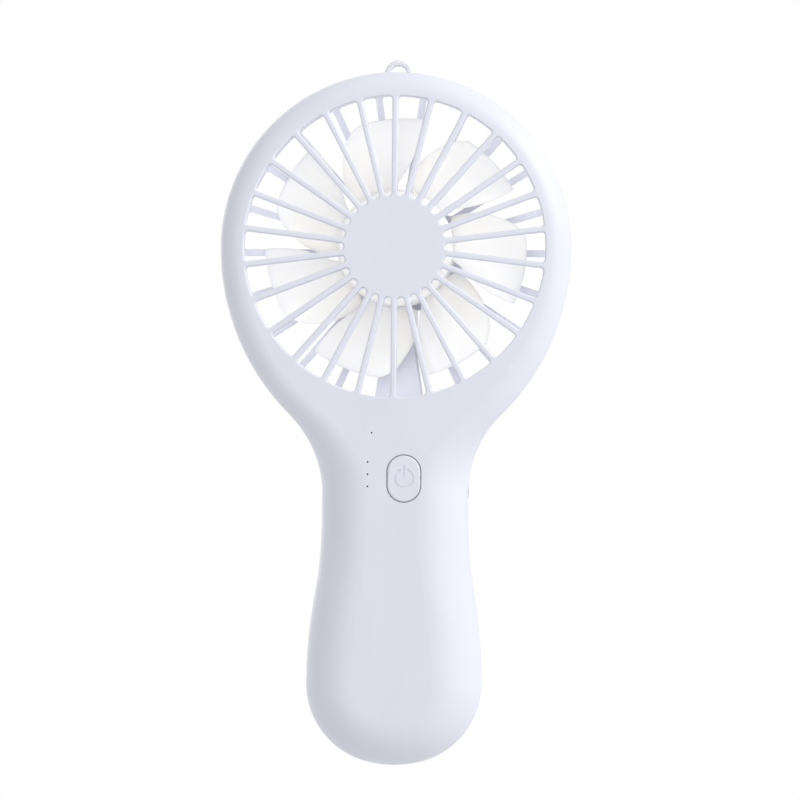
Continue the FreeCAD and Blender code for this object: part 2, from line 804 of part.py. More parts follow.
def rear_shell():
    back = d.half_depth
    blank = cut("rear_blank", outline_block("rear_prism", 0, back, False),
                back_trim("rear_trim", back, d.grip_back))
    skin = rounded_rim("rear_skin", blank, 0, False)
    inner_back = back - d.face_wall
    hollow_blank = cut("rear_hollow_blank",
                       outline_block("rear_hollow_prism", d.wall, inner_back, False),
                       back_trim("rear_hollow_trim", inner_back, d.grip_back - d.face_wall))
    hollow = rounded_rim("rear_hollow", hollow_blank, d.wall, False)
    cores = duct_cores("rear_duct", 0, back)
    for i, (x, drop) in enumerate(SCREWS):
        cores.append(cylinder(f"tower{i}", d.tower_radius, back, x, 0.1, -drop))
    cores.append(cradle_ribs("rear_cradle", 2.0, back))
    space = cut_all("rear_space", hollow, cores)
    air = cut_all("rear_air", rear_duct_space(), channel_walls())
    tools = [space, air,
             slot_cutter("rear_slots", d.rib_count, d.rib_width, d.boss_radius,
                         d.rear_grille_radius, False, skip=1),
             port_opening("rear_port"), loop_notch(), wire_exits()]
    for i, (x, drop) in enumerate(SCREWS):
        tools.append(cylinder(f"screw_hole{i}", d.screw_hole, d.screw_seat + 1, x, -0.5, -drop))
        tools.append(cylinder(f"counterbore{i}", d.counterbore, back, x, d.screw_seat, -drop))
    lip = cut("rear_lip", lip_ring("rear_lip_ring", 0, d.lip_height, True),
              port_opening("lip_port"))
    hollowed = cut_all("rear_hollowed", seam_bevel("rear_bevelled", skin), tools)
    slot_rounds = rounded_slots("rear_slot_rounds", hollowed, back.value, d.rear_grille_radius)
    return fuse("rear_shell", [slot_rounds, lip])


def seam_bevel(name, base):
    """Fine bevel on the outer edge of a solid half, where the two shells will meet."""
    doc.recompute()
    obj = part_object("Part::Chamfer", name)
    obj.Base = base
    obj.Edges = [(number, d.seam_bevel.value, d.seam_bevel.value)
                 for number, edge in enumerate(base.Shape.Edges, start=1)
                 if abs(edge.BoundBox.YMin) < 1e-5 and abs(edge.BoundBox.YMax) < 1e-5]
    return obj


def loop_notch():
    """Notch in the top of the rear shell's wall for the lanyard loop."""
    side = d.loop_outer + d.fit_gap
    return block("loop_notch", (-side, 0, d.head_radius - 3),
                 (side, d.loop_web + 0.2, d.head_radius + 1))


def wire_exits():
    """Openings that let the motor's wires out of the cup and out of the duct."""
    front = d.channel_front
    floor = d.half_depth - d.rib_depth
    cup = block("cup_exit", (-2.6, front, -d.can_radius - 3), (2.6, floor, -d.can_radius + 1.5))
    duct = block("duct_exit", (-4.5, front, -d.duct_radius - d.duct_wall - 1),
                 (4.5, floor, -d.duct_radius + 0.6))
    return fuse("wire_exits", [cup, duct])


# ======================================================================================
# Shapes worked out with Part's own functions: blades, armature, screws, wires
# ======================================================================================
SPIN_AXIS = Vec(0, 1, 0)


def polar(angle, radius, y=0.0):
    """Point across the spin axis; the angle is clockwise from the top, seen from the front."""
    turn = math.radians(angle)
    return Vec(radius * math.sin(turn), y, radius * math.cos(turn))


def arc_edge(start, middle, end):
    return Part.Arc(start, middle, end).toShape()


def turned(shape, angle):
    copy = shape.copy()
    copy.rotate(Vec(), SPIN_AXIS, angle)
    return copy


def drum(radius, front, back, bore=0.0):
    """Cylinder about the spin axis between two depths, with an optional bore."""
    front, back = float(front), float(back)
    solid = Part.makeCylinder(float(radius), back - front, Vec(0, front, 0), SPIN_AXIS)
    if bore:
        solid = solid.cut(Part.makeCylinder(float(bore), back - front, Vec(0, front, 0),
                                            SPIN_AXIS))
    return solid


def bar(low, high):
    low = Vec(*[float(v) for v in low])
    high = Vec(*[float(v) for v in high])
    size = high - low
    return Part.makeBox(size.x, size.y, size.z, low)


# Blade outline, for a blade that points up: (angle, radius).
BLADE_LEAD = ((-46, 15.7), (-38, 25.0), (-29, 31.5))
BLADE_CORNER = ((-23.5, 34.9), (-17.5, None))
BLADE_TRAIL = ((12, None), (11.7, 27.5), (2.4, 18.6), (-1.5, 15.7))
# Stations up the blade: height, lead x, trail x, lead y, trail y.
BLADE_STATIONS = ((13, -12.7, -1.5, 0.9, -10.4), (19, -15.2, 1.0, 0.5, -10.6),
                  (25, -15.7, 4.3, -0.1, -10.6), (31, -14.7, 6.5, -0.9, -10.4),
                  (38, -12.5, 8.0, -1.8, -10.0))
BLADE_CAMBER = 1.7
BLADE_MARGIN = 0.15


def blade_outline():
    tip = d.blade_tip.value
    lead = [polar(*point, -20.0) for point in BLADE_LEAD]
    corner = [polar(angle, radius or tip, -20.0) for angle, radius in BLADE_CORNER]
    trail = [polar(angle, radius or tip, -20.0) for angle, radius in BLADE_TRAIL]
    tip_middle = polar((BLADE_CORNER[-1][0] + BLADE_TRAIL[0][0]) / 2, tip, -20.0)
    root_middle = polar(-22, BLADE_LEAD[0][1], -20.0)
    return Part.Wire([
        arc_edge(*lead), arc_edge(lead[-1], *corner),
        arc_edge(corner[-1], tip_middle, trail[0]), arc_edge(*trail[:3]),
        Part.makeLine(trail[2], trail[3]), arc_edge(trail[3], root_middle, lead[0])])


def blade_section(height, lead_x, trail_x, lead_y, trail_y):
    """Closed section of the twisted sheet the blade is cut from, a little wider than it."""
    half_web = d.blade_web.value / 2

    def at(share, side):
        chord_y = lead_y + (trail_y - lead_y) * share
        bulge = 4 * BLADE_CAMBER * share * (1 - share)
        return Vec(lead_x + (trail_x - lead_x) * share, chord_y + bulge + side * half_web, height)

    shares = (-BLADE_MARGIN, 0.5, 1 + BLADE_MARGIN)
    rear = [at(share, 1) for share in shares]
    front = [at(share, -1) for share in reversed(shares)]
    return Part.Wire([arc_edge(*rear), Part.makeLine(rear[-1], front[0]), arc_edge(*front),
                      Part.makeLine(front[-1], rear[0])])


def impeller():
    sheet_solid = Part.makeLoft([blade_section(*station) for station in BLADE_STATIONS], True)
    prism = Part.Face(blade_outline()).extrude(Vec(0, 40, 0))
    blade = sheet_solid.common(prism)
    bore = d.shaft_radius.value + 0.02
    nose_back, web_back, blind = -6.8, d.hub_front.value + 1.4, d.hub_front.value + 0.9
    front, back = d.hub_front.value, d.hub_back.value
    cup = drum(d.hub_radius, front, back).cut(drum(d.hub_inner, web_back, back))
    rim = [edge for edge in cup.Edges if edge.BoundBox.YMax < front + 1e-6]
    cup = cup.makeFillet(1.2, rim)
    nose = drum(3.0, web_back - 0.1, nose_back)
    hub = cup.fuse(nose).cut(drum(bore, blind, nose_back))
    pitch = 360 / d.blade_count.value
    blades = [turned(blade, pitch * i) for i in range(int(d.blade_count.value))]
    return feature("impeller", hub.fuse(blades).removeSplitter())


ARM_ANGLES = (0, 120, 240)
ARM_WIDTH = 2.8
CORE_FRONT, CORE_BACK = -2.0, 4.0
COIL_OVERHANG = 1.2
SHOE_WEB = 1.8


def arm(width, low, high, front, back):
    return bar((-width / 2, front, low), (width / 2, back, high))


def rotor_core():
    """Three-pole laminated core: hub, arms and arc shoes."""
    outer = d.core_radius.value
    shoes = drum(outer, CORE_FRONT, CORE_BACK, outer - SHOE_WEB)
    gaps = [turned(arm(2.0, 0, outer + 1, CORE_FRONT, CORE_BACK), angle + 60)
            for angle in ARM_ANGLES]
    arms = [turned(arm(ARM_WIDTH, 0, outer - SHOE_WEB / 2, CORE_FRONT, CORE_BACK), angle)
            for angle in ARM_ANGLES]
    hub = drum(2.8, CORE_FRONT, CORE_BACK)
    bore = drum(d.shaft_radius.value + 0.02, CORE_FRONT, CORE_BACK)
    return feature("rotor_core", shoes.cut(gaps).fuse(arms + [hub]).cut(bore).removeSplitter())


def rotor_coils():
    """One winding round each arm of the core."""
    gap = 0.03
    inner, outer = 3.4, d.core_radius.value - SHOE_WEB - 0.05
    inside_shoes = drum(outer, CORE_FRONT - COIL_OVERHANG, CORE_BACK + COIL_OVERHANG)
    coils = []
    for angle in ARM_ANGLES:
        winding = arm(ARM_WIDTH + 2.6, inner, outer, CORE_FRONT - COIL_OVERHANG,
                      CORE_BACK + COIL_OVERHANG)
        rims = [edge for edge in winding.Edges if edge.BoundBox.ZLength > 1]
        winding = winding.makeFillet(0.9, rims)
        middle = arm(ARM_WIDTH + 2 * gap, inner - 1, outer + 1, CORE_FRONT - gap,
                     CORE_BACK + gap)
        coils.append(turned(winding.cut(middle).common(inside_shoes), angle))
    return feature("rotor_coils", Part.makeCompound(coils))


def motor_magnets():
    """Two arc magnets against the can's wall, to the left and right of the rotor."""
    full = drum(d.can_radius - d.can_wall - 0.03, -3.6, 7.6, d.magnet_inner)
    reach = d.can_radius.value
    gap = bar((-3.2, -5, -reach), (3.2, 9, reach))
    return feature("motor_magnets", full.cut(gap))


def motor_brushes():
    """Carbon brushes in the end cap, a hair clear of the commutator."""
    inner, outer = d.commutator_radius.value + 0.35, 7.4
    return feature("motor_brushes", Part.makeCompound(
        [bar((min(side * inner, side * outer), 6.2, -0.9),
             (max(side * inner, side * outer), 8.78, 0.9)) for side in (1, -1)]))


def commutator():
    """Copper ring in three segments on an insulating bush."""
    outer, back = d.commutator_radius.value, 8.0
    ring_solid = drum(outer, 5.6, back, 1.6)
    gaps = [turned(arm(0.3, 0, outer + 1, 5.6, back), angle + 60) for angle in ARM_ANGLES]
    sleeve = drum(1.6, 5.5, back, d.shaft_radius.value + 0.02)
    return feature("commutator", ring_solid.cut(gaps).fuse(sleeve).removeSplitter())


TERMINAL_X = 1.6
TERMINAL_LOW, TERMINAL_HIGH = -10.0, -8.4


def motor_terminals():
    back = d.cap_back.value
    tabs = []
    for side in (1, -1):
        x = side * TERMINAL_X
        tabs.append(bar((x - 0.6, back, TERMINAL_LOW), (x + 0.6, back + 1.5, TERMINAL_HIGH)))
    return feature("motor_terminals", Part.makeCompound(tabs))


def screw(head_radius, head_height, shank_radius, length):
    """Cross-recessed screw: seat at the origin, head behind it, shank going forward."""
    head = Part.makeCylinder(head_radius, head_height, Vec(), SPIN_AXIS)
    top = [edge for edge in head.Edges if edge.BoundBox.YMin > head_height - 1e-6]
    head = head.makeFillet(head_height * 0.45, top)
    taper = shank_radius * 1.5
    shank = Part.makeCylinder(shank_radius, length - taper, Vec(0, -length + taper, 0), SPIN_AXIS)
    point = Part.makeCone(0.15, shank_radius, taper, Vec(0, -length, 0), SPIN_AXIS)
    arm_half, slot_half = head_radius * 0.55, head_radius * 0.12
    depth = head_height * 0.6
    solid = head.fuse([shank, point])
    for half_x, half_z in ((arm_half, slot_half), (slot_half, arm_half)):
        solid = solid.cut(bar((-half_x, head_height - depth, -half_z),
                              (half_x, head_height + 1, half_z)))
    return solid.removeSplitter()


def copies(shape, places):
    """Compound of one shape moved to each place."""
    made = []
    for x, y, z in places:
        copy = shape.copy()
        copy.translate(Vec(float(x), float(y), float(z)))
        made.append(copy)
    return Part.makeCompound(made)


def case_screws():
    shape = screw(float(d.screw_head), float(d.screw_head_height), float(d.screw_shank),
                  float(d.screw_length))
    return feature("case_screws", copies(shape, [(x, d.screw_seat, -drop)
                                                 for x, drop in SCREWS]))


def board_screws():
    seat = d.board_front + d.board_web
    return feature("board_screws", copies(screw(1.6, 0.9, 0.65, 3.4),
                                          [(x, seat, z) for x, z in BOARD_POSTS]))


def wire(name, points):
    """Round wire of straight runs and tangent arcs; prints its radii and checks its volume."""
    radius = d.wire_radius.value
    points = [Vec(*point) for point in points]
    edges, radii, start = [], [], points[0]
    for before, corner, after in zip(points, points[1:], points[2:]):
        arriving, leaving = corner - before, after - corner
        shorter = min(arriving.Length, leaving.Length)
        half_turn = arriving.getAngle(leaving) / 2
        setback = 0.45 * shorter
        bend = setback / math.tan(half_turn)
        arriving.normalize()
        leaving.normalize()
        first, last = corner - arriving * setback, corner + leaving * setback
        inward = (leaving - arriving).normalize()
        apex = corner + inward * (bend / math.cos(half_turn) - bend)
        edges.append(Part.LineSegment(start, first).toShape())
        edges.append(Part.Arc(first, apex, last).toShape())
        radii.append(bend)
        start = last
    edges.append(Part.LineSegment(start, points[-1]).toShape())
    path = Part.Wire(edges)
    circle = Part.Circle(points[0], points[1] - points[0], radius)
    solid = path.makePipeShell([Part.Wire(circle.toShape())], True, False)
    expected = math.pi * radius ** 2 * path.Length
    print(name, "length", round(path.Length, 1), "radii", [round(r, 1) for r in radii],
          "volume ratio", round(solid.Volume / expected, 4))
    return feature(name, solid)


def wires():
    """Motor leads down the wire channel to the board, and the cell's two short leads."""
    made = []
    for colour, side in (("red", 1), ("black", -1)):
        route = [(1.6, 13.2, -10.0), (1.6, 13.2, -12.6), (0.75, 13.05, -16.0),
                 (1.6, 13.2, -26.5), (2.5, 13.0, -38.5), (2.9, 12.6, -50.5),
                 (4.2, 2.0, -55.5), (4.2, -9.4, -55.5)]
        made.append(wire("motor_wire_" + colour, [(side * x, y, z) for x, y, z in route]))
    made.append(wire("battery_wire_red", [(2.0, 0.4, -73.5), (2.0, 0.4, -66.0),
                                          (0.0, -4.5, -57.8), (0.0, -9.4, -57.8)]))
    made.append(wire("battery_wire_black", [(-9.3, 0.4, -73.5), (-9.3, 0.4, -67.0),
                                            (-7.2, -4.6, -61.2), (-7.2, -9.4, -61.2)]))
    return made


# ======================================================================================
# Pieces made from primitives and bodies
# ======================================================================================
def wire_cover():
    """Flat lid of the wire channel, wider towards the rim."""
    body = part_object("PartDesign::Body", "wire_cover")
    front = d.channel_front - d.cover_web
    place(body, 0, front)
    sketch = new_sketch(body, "wire_cover_profile")
    half_pitch = math.radians(180 / float(d.rib_count))
    near, far = 14.4, float(d.duct_radius) - 0.7
    half_wall = float(d.channel_wall) / 2
    near_x, far_x = (math.sin(half_pitch) * r + half_wall for r in (near, far))
    polygon(sketch, [(-near_x, -near), (-far_x, -far), (far_x, -far), (near_x, -near)])
    pad = body.newObject("PartDesign::Pad", "wire_cover_pad")
    pad.Profile = sketch
    pad.Reversed = True
    bind(pad, "Length", d.cover_web)
    return body


def lanyard_loop():
    """Small arch on the head's top, its foot trapped behind the rear shell's wall."""
    front = 0.1
    base = -d.loop_drop
    drum_shape = cylinder("loop_drum", d.loop_outer, d.loop_web, 0, front, base)
    lower = block("loop_lower", (-5, 0, base - 5), (5, 3, base))
    arch = cut("loop_arch", drum_shape, lower)
    stem = block("loop_stem", (-d.loop_outer, front, d.head_radius - 3),
                 (d.loop_outer, d.loop_web + front, base))
    foot = block("loop_foot", (-6, front, d.head_radius - 3.6),
                 (6, d.loop_web + front, d.head_radius - 2.6))
    eye = cylinder("loop_eye", d.loop_inner, d.loop_web + 1, 0, front - 0.5, base)
    solid = cut("loop_blank", fuse("loop_solid", [arch, stem, foot]), eye)
    doc.recompute()
    above_foot = float(d.axis_height + d.head_radius) - 2.7
    obj = part_object("Part::Fillet", "lanyard_loop")
    obj.Base = solid
    obj.Edges = [(number, 0.55, 0.55) for number, edge in enumerate(solid.Shape.Edges, 1)
                 if edge.BoundBox.YLength < 1e-6 and edge.CenterOfMass.z > above_foot]
    return obj


def motor_can():
    inner = d.can_radius - d.can_wall
    web_back = d.can_front + d.can_wall
    bore = d.bush_radius + d.fit_gap
    return revolved("motor_can", [
        (bore, d.can_front), (d.can_radius, d.can_front), (d.can_radius, d.can_back),
        (inner, d.can_back), (inner, web_back), (bore, web_back)])


def motor_end_cap():
    plug = d.can_radius - d.can_wall - d.fit_gap
    bore = d.bush_radius + d.fit_gap
    floor, seat = 8.8, 11.2
    return revolved("motor_end_cap", [
        (0, d.cap_back), (d.can_radius, d.cap_back), (d.can_radius, d.can_back),
        (plug, d.can_back), (plug, floor), (bore, floor), (bore, seat), (0, seat)])


def bushes():
    bore = d.shaft_radius + d.shaft_gap
    return [ring("front_bush", d.bush_radius, bore, -6.4, -4.0),
            ring("rear_bush", d.bush_radius, bore, 8.4, 11.0)]


def motor_shaft():
    front, back = -10.45, 10.9
    return cylinder("motor_shaft", d.shaft_radius, back - front, 0, front)


def power_button():
    """Oval cap flush with the grip, a flange behind the wall and a stem to the switch."""
    x, z = d.button_side, -d.button_drop
    inner_face = -d.half_depth + d.face_wall
    flange_front = inner_face + 0.5
    flange_back = flange_front + 0.8
    stem_back = flange_back + 0.2
    cap = stadium("button_cap", d.button_half_width, d.button_half_height, d.button_front,
                  flange_front, x, z, 0.5)
    flange = stadium("button_rim", d.button_half_width + d.button_flange,
                     d.button_half_height + d.button_flange, flange_front, flange_back, x, z)
    stem = cylinder("button_stem", 1.5, stem_back - flange_back, x, flange_back, z)
    face = d.button_front
    depth, line, radius, half_gap = 0.2, 0.45, 2.75, 0.95
    icon_z = z + 0.1
    outer = cylinder("icon_outer", radius, depth + 1, x, face - 1, icon_z)
    inner = cylinder("icon_inner", radius - line, depth + 1, x, face - 1, icon_z)
    gap = block("icon_gap", (x - half_gap, face - 1, icon_z),
                (x + half_gap, face + depth, icon_z + radius + 1))
    circle = cut_all("icon_circle", outer, [inner, gap])
    stroke = block("icon_bar", (x - line / 2, face - 1, icon_z + 0.4),
                   (x + line / 2, face + depth, icon_z + radius + 1))
    return cut_all("power_button", fuse("button_blank", [cap, flange, stem]),
                   [circle, stroke])


def switch_parts():
    """Tactile switch body on the board and its plunger, which the button's stem pushes."""
    x, z = d.button_side, -d.button_drop
    front = d.board_front - 2.4
    plunger_front = -d.half_depth + d.face_wall + 1.5
    case = block("switch_case", (x - 3, front, z - 3), (x + 3, d.board_front, z + 3))
    well = cylinder("switch_well", 1.75, 2.0, x, front - 0.1, z)
    body = cut("switch_body", case, well)
    plunger = cylinder("switch_plunger", 1.7, 1.9, x, plunger_front, z)
    return [body, plunger]


def main_board():
    blank = block("board_blank", (-d.board_half_width, d.board_front, -d.board_base_drop),
                  (d.board_half_width, d.board_front + d.board_web, -d.board_top_drop))
    holes = [cylinder(f"board_hole{i}", 0.9, 3, x, d.board_front - 1, z)
             for i, (x, z) in enumerate(BOARD_POSTS)]
    return cut_all("main_board", blank, holes)


def status_leds():
    front = d.board_front.value
    return feature("status_leds", Part.makeCompound(
        [bar((x - 0.8, front - 0.6, z - 0.4), (x + 0.8, front, z + 0.4)) for x, z in LEDS]))


# Components on the board's front: x, drop, width, height, thickness.
BOARD_PARTS = ((-3.6, 75.5, 4.9, 3.9, 1.5), (4.6, 79.0, 4.0, 4.0, 2.2), (-4.6, 57.0, 3.0, 3.0, 1.0),
               (0.6, 83.0, 2.0, 1.2, 0.6), (0.6, 76.0, 1.2, 2.0, 0.6), (-0.2, 51.5, 2.0, 1.2, 0.6))


def board_parts():
    front = d.board_front.value
    return feature("board_parts", Part.makeCompound(
        [bar((x - w / 2, front - t, -drop - h / 2), (x + w / 2, front, -drop + h / 2))
         for x, drop, w, h, t in BOARD_PARTS]))


def charge_parts():
    """Side charging socket on its own small shelf board, pinned to the main board."""
    top = -d.port_drop - d.port_half_height
    near, far, half_depth, web = 5.5, 17.5, 5.5, 1.0
    board = block("charge_board", (near, -half_depth, top - web), (far, half_depth, top))
    back = d.waist_half - 7.7
    mouth = d.waist_half - 0.15
    shell = port_bar("socket_shell", 0, back, mouth - back)
    cavity = port_bar("socket_cavity", -0.3, back + 0.6, 8)
    socket = cut("charge_socket", shell, cavity)
    z = -d.port_drop
    tongue = block("charge_tongue", (back + 0.6, -3.3, z - 0.35), (mouth - 0.8, 3.3, z + 0.35))
    board_back = d.board_front.value + d.board_web.value
    pins = feature("board_link", Part.makeCompound(
        [bar((x - 0.25, board_back, top.value - 0.75), (x + 0.25, -half_depth, top.value - 0.25))
         for x in (6.4, 7.65, 8.9, 10.15)]))
    return [board, socket, tongue, pins]


def battery_parts():
    """Round cell with its end button and weld strips, and the foam that stops it rattling."""
    low = -d.cell_top_drop - d.cell_length
    cell = cylinder("battery_cell", d.cell_radius, d.cell_length, 0, d.cell_back, low, UPRIGHT)
    nub = cylinder("battery_terminal", 2.8, 0.8, 0, d.cell_back, -d.cell_top_drop, UPRIGHT)
    y, top, base = d.cell_back.value, -d.cell_top_drop.value + 0.8, low.value
    radius = d.cell_radius.value
    strip_top, strip_half, web = -73.5, 1.3, 0.2
    tabs = [bar((-3.0, y - 2.5, top), (3.0, y + 2.5, top + web)),
            bar((-radius - 0.1 - web, y - strip_half, base - web), (3.0, y + strip_half, base)),
            bar((-radius - 0.1 - web, y - strip_half, base), (-radius - 0.1, y + strip_half,
                                                              strip_top))]
    strips = feature("battery_tabs", Part.makeCompound([tabs[0], tabs[1].fuse(tabs[2])]))
    pad = block("foam_blank", (-5, 7, -124), (5, d.grip_back - d.face_wall, -100))
    hollow = cylinder("foam_hollow", d.cell_radius + 0.05, 40, 0, d.cell_back, -130, UPRIGHT)
    return [cell, nub, strips, cut("battery_foam", pad, hollow)]


# ======================================================================================
# Build, check and write
# ======================================================================================
def build():
    pieces = [front_shell(), rear_shell(), wire_cover(), lanyard_loop(), case_screws()]
    pieces += [motor_can(), motor_end_cap()] + bushes() + [motor_shaft()]
    pieces += [motor_magnets(), motor_brushes(), motor_terminals()]
    pieces += [rotor_core(), rotor_coils(), commutator(), impeller()]
    pieces += [power_button()] + switch_parts()
    pieces += [main_board(), board_parts(), status_leds(), board_screws()]
    pieces += charge_parts() + battery_parts() + wires()
    doc.recompute()
    return pieces


def check(pieces):
    """Stop if anything failed to build or came out empty or invalid."""
    for obj in doc.Objects:
        if "Invalid" in obj.State or "Error" in obj.State:
            raise RuntimeError(f"{obj.Name} failed: {obj.State}")
    for piece in pieces:
        if piece.Shape.isNull() or not piece.Shape.isValid() or not piece.Shape.Solids:
            raise RuntimeError(f"{piece.Label} has no valid shape")


def write(pieces):
    os.makedirs(PARTS_DIR, exist_ok=True)
    for piece in pieces:
        piece.Shape.exportStep(os.path.join(PARTS_DIR, piece.Label + ".step"))
        print(piece.Label, len(piece.Shape.Solids), "solids", round(piece.Shape.Volume, 1), "mm3")


PIECES = build()
check(PIECES)
write(PIECES)
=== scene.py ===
"""Handheld electric fan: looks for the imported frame.

Row frame in metres: +Z up, the front grille faces -Y, +X to the right of someone looking
at the front.  The origin is the middle of the hand grip.
"""
import math
import bpy
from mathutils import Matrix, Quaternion, Vector


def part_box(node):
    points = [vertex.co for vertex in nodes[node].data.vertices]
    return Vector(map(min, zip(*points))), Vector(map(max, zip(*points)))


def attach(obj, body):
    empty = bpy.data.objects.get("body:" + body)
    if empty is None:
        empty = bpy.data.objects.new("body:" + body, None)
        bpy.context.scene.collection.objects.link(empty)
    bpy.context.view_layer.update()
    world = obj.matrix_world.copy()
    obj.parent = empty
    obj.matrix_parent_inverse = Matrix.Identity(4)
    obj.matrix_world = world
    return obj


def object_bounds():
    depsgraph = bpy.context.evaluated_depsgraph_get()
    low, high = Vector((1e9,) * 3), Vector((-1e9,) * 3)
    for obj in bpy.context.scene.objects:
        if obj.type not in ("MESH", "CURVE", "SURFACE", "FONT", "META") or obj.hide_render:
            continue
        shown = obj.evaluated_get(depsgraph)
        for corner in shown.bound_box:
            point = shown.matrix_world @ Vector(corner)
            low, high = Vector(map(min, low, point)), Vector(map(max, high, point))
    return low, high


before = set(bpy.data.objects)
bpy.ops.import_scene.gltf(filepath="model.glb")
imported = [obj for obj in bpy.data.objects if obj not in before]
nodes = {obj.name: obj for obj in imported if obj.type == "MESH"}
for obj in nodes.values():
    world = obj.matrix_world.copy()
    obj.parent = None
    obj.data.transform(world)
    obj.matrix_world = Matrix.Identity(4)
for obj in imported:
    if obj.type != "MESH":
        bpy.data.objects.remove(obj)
cad_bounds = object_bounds()

MM = 0.001
WAVE_PERIOD = math.pi / 10      # of Blender's wave texture at scale 1, in its own units


# ======================================================================================
# Material building blocks
# ======================================================================================
class Nodes:
    """A new material, its Principled shader and short calls for the nodes that feed it."""

    def __init__(self, name):
        self.material = bpy.data.materials.new(name)
        self.material.use_nodes = True
        self.tree = self.material.node_tree
        self.tree.nodes.clear()
        self.shader = self.add("ShaderNodeBsdfPrincipled")
        output = self.add("ShaderNodeOutputMaterial")
        self.link(self.shader.outputs["BSDF"], output.inputs["Surface"])
        self.coords = self.add("ShaderNodeTexCoord").outputs["Object"]

    def add(self, kind, **settings):
        node = self.tree.nodes.new(kind)
        for key, value in settings.items():
            setattr(node, key, value)
        return node

    def link(self, source, target):
        self.tree.links.new(source, target)

    def set(self, **values):
        """Constants on the shader's own sockets; words are joined by underscores."""
        for key, value in values.items():
            self.shader.inputs[key.replace("_", " ")].default_value = value
        return self

    def scaled(self, size, stretch=(1, 1, 1)):
        """Object coordinates in units of one feature's size in metres."""
        mapping = self.add("ShaderNodeMapping")
        mapping.inputs["Scale"].default_value = [1 / (size * s) for s in stretch]
        self.link(self.coords, mapping.inputs["Vector"])
        return mapping.outputs["Vector"]

    def noise(self, size, detail=2.0, rough=0.5, stretch=(1, 1, 1)):
        node = self.add("ShaderNodeTexNoise")
        node.inputs["Scale"].default_value = 1.0
        node.inputs["Detail"].default_value = detail
        node.inputs["Roughness"].default_value = rough
        self.link(self.scaled(size, stretch), node.inputs["Vector"])
        return node.outputs["Fac"]

    def cells(self, size, feature="F1", stretch=(1, 1, 1)):
        node = self.add("ShaderNodeTexVoronoi", feature=feature)
        node.inputs["Scale"].default_value = 1.0
        self.link(self.scaled(size, stretch), node.inputs["Vector"])
        return node.outputs["Distance"]

    def bands(self, size, axis, distortion=0.0):
        """Even ridges, one every size metres along an axis."""
        node = self.add("ShaderNodeTexWave", bands_direction=axis)
        node.inputs["Scale"].default_value = WAVE_PERIOD
        node.inputs["Distortion"].default_value = distortion
        node.inputs["Detail Scale"].default_value = 1.0
        self.link(self.scaled(size), node.inputs["Vector"])
        return node.outputs["Fac"]

    def spread(self, source, low, high, start=0.3, end=0.7):
        """The source's middle range mapped to low..high."""
        node = self.add("ShaderNodeMapRange")
        for key, value in (("From Min", start), ("From Max", end),
                           ("To Min", low), ("To Max", high)):
            node.inputs[key].default_value = value
        self.link(source, node.inputs["Value"])
        return node.outputs["Result"]

    def mix(self, factor, first, second):
        """Colour between two: each is a colour or another node's output."""
        # The node has an A, a B and a Result for each data type; these are the colour ones.
        colour_a, colour_b, colour_result = 6, 7, 2
        node = self.add("ShaderNodeMix", data_type="RGBA")
        self.link(factor, node.inputs["Factor"])
        for index, colour in ((colour_a, first), (colour_b, second)):
            if isinstance(colour, bpy.types.NodeSocket):
                self.link(colour, node.inputs[index])
            else:
                node.inputs[index].default_value = (*colour, 1)
        return node.outputs[colour_result]

    def colour(self, output):
        self.link(output, self.shader.inputs["Base Color"])
        return self

    def rough(self, output):
        self.link(output, self.shader.inputs["Roughness"])
        return self

    def bump(self, *layers):
        """Stacks bumps: each layer is (height output, depth in metres)."""
        normal = None
        for height, depth in layers:
            node = self.add("ShaderNodeBump")
            node.inputs["Distance"].default_value = depth
            self.link(height, node.inputs["Height"])
            if normal:
                self.link(normal, node.inputs["Normal"])
            normal = node.outputs["Normal"]
        self.link(normal, self.shader.inputs["Normal"])
        return self


def tint(colour, share):
    """The colour made darker, or lighter up to white, by a factor."""
    return tuple(min(c * share, 1.0) for c in colour)


def moulded(name, colour, roughness=0.45, grain=0.35 * MM, depth=0.012 * MM, shift=0.97, **shader):
    """Moulded plastic: fine spark-eroded grain, faint flow marks and uneven sheen."""
    look = Nodes(name)
    flow = look.noise(14 * MM, 3.0, 0.6, (1, 1, 2.2))
    patches = look.noise(5 * MM, 2.0)
    look.colour(look.mix(look.spread(flow, 0, 1), colour, tint(colour, shift)))
    look.rough(look.spread(patches, roughness - 0.035, roughness + 0.035))
    look.bump((look.noise(grain, 2.0), depth), (flow, 0.02 * MM))
    return look.set(**shader).material


def metal(name, colour, roughness=0.3, stretch=(1, 1, 1)):
    """Metal with fine drawn or tumbled scratches and slight staining."""
    look = Nodes(name)
    stain = look.noise(1.6 * MM, 4.0, 0.6)
    scratches = look.noise(0.12 * MM, 3.0, 0.6, stretch)
    look.colour(look.mix(look.spread(stain, 0, 1), colour, tint(colour, 0.85)))
    look.rough(look.spread(scratches, roughness - 0.08, roughness + 0.10))
    look.bump((scratches, 0.002 * MM), (stain, 0.004 * MM))
    return look.set(Metallic=1.0).material


# ======================================================================================
# Materials, one function each where the surface needs its own pattern
# ======================================================================================
SHELL_WHITE = (0.80, 0.815, 0.915)
BLADE_CREAM = (0.98, 0.95, 0.89)


def laminations():
    """Stacked sheets of electrical steel, edge on."""
    look = Nodes("core_laminations")
    sheets = look.bands(0.5 * MM, "Y")
    stain = look.noise(0.9 * MM, 3.0)
    edge = look.mix(look.spread(stain, 0, 1), (0.40, 0.41, 0.43), (0.30, 0.27, 0.25))
    look.colour(look.mix(look.spread(sheets, 0, 1, 0.05, 0.25), (0.10, 0.09, 0.09), edge))
    look.rough(look.spread(stain, 0.35, 0.55))
    look.bump((sheets, 0.05 * MM))
    return look.set(Metallic=1.0).material


